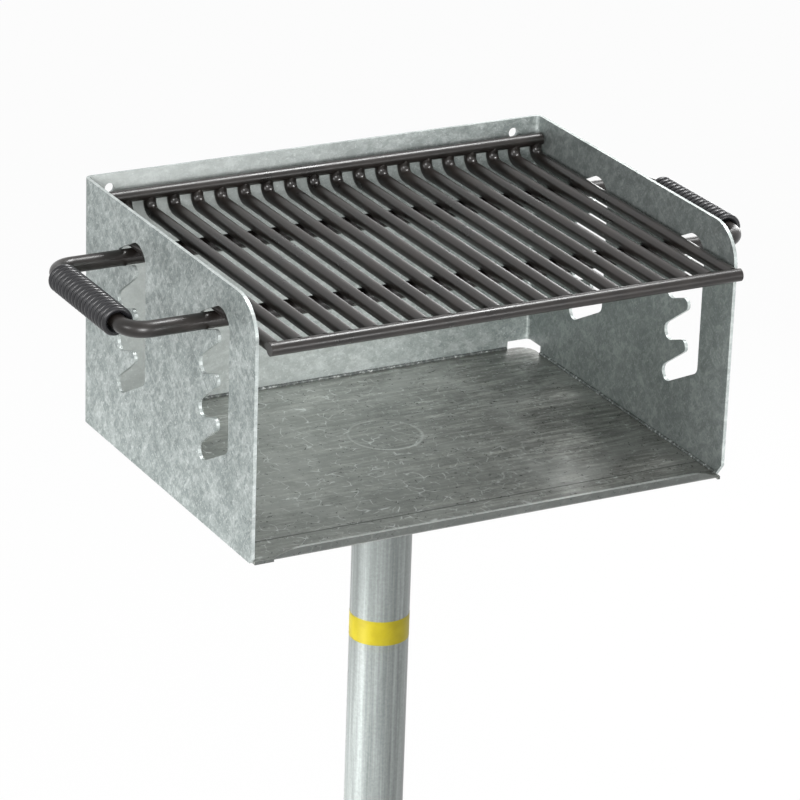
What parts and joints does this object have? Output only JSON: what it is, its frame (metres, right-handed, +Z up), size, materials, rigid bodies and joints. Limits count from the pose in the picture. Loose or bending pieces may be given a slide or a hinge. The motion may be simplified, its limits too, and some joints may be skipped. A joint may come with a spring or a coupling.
{
  "type": "park bbq grill pedestal",
  "caption": "Open-fronted sheet steel firebox that swivels on a pipe post, with notched side slots and a lift-out rod grate with spring-grip handles.",
  "frame": {"origin": "middle of the post's lower end", "axes": "+Z up along the post and the swivel's axis; +Y to the firebox's back wall; +X to the right, seen from the open front"},
  "size_m": [0.686, 0.4023, 1.3733],
  "materials": {
    "galvanised_sheet": "hot-dip galvanised, mottled zinc spangle, satin",
    "galvanised_pipe": "galvanised pipe with faint drawn streaks, satin",
    "zinc_fasteners": "bright zinc plate",
    "grate_black": "satin black heat-proof paint on steel bar",
    "grip_spring": "satin black spring wire"
  },
  "bodies": {
    "post": {"post_pipe": "galvanised_pipe", "post_cap": "galvanised_pipe"},
    "firebox": {"swivel_collar": "galvanised_pipe", "collar_nuts": "zinc_fasteners", "retaining_screws": "zinc_fasteners", "firebox_floor": "galvanised_sheet", "firebox_shell": "galvanised_sheet"},
    "grate": {"grate_front_bar": "grate_black", "grate_back_bar": "grate_black", "grate_rod_01": "grate_black", "grate_rod_02": "grate_black", "grate_rod_03": "grate_black", "grate_rod_04": "grate_black", "grate_rod_05": "grate_black", "grate_rod_06": "grate_black", "grate_rod_07": "grate_black", "grate_rod_08": "grate_black", "grate_rod_09": "grate_black", "grate_rod_10": "grate_black", "grate_rod_11": "grate_black", "grate_rod_12": "grate_black", "grate_rod_13": "grate_black", "grate_rod_14": "grate_black", "grate_rod_15": "grate_black", "grate_rod_16": "grate_black", "grate_rod_17": "grate_black", "grate_rod_18": "grate_black", "grate_rod_19": "grate_black", "grate_rod_20": "grate_black", "cross_rod_front": "grate_black", "cross_rod_back": "grate_black", "handle_left": "grate_black", "handle_right": "grate_black", "grip_left": "grip_spring", "grip_right": "grip_spring"}
  },
  "joints": [
    {"name": "swivel", "type": "hinge", "parent": "post", "child": "firebox", "pos_m": [0, 0, 1.1183], "axis": [0, 0, 1], "continuous": true},
    {"name": "unhook", "type": "slide", "parent": "firebox", "child": "grate", "axis": [0, -0.9394, 0.3428], "range_m": [0, 0.042]}
  ]
}
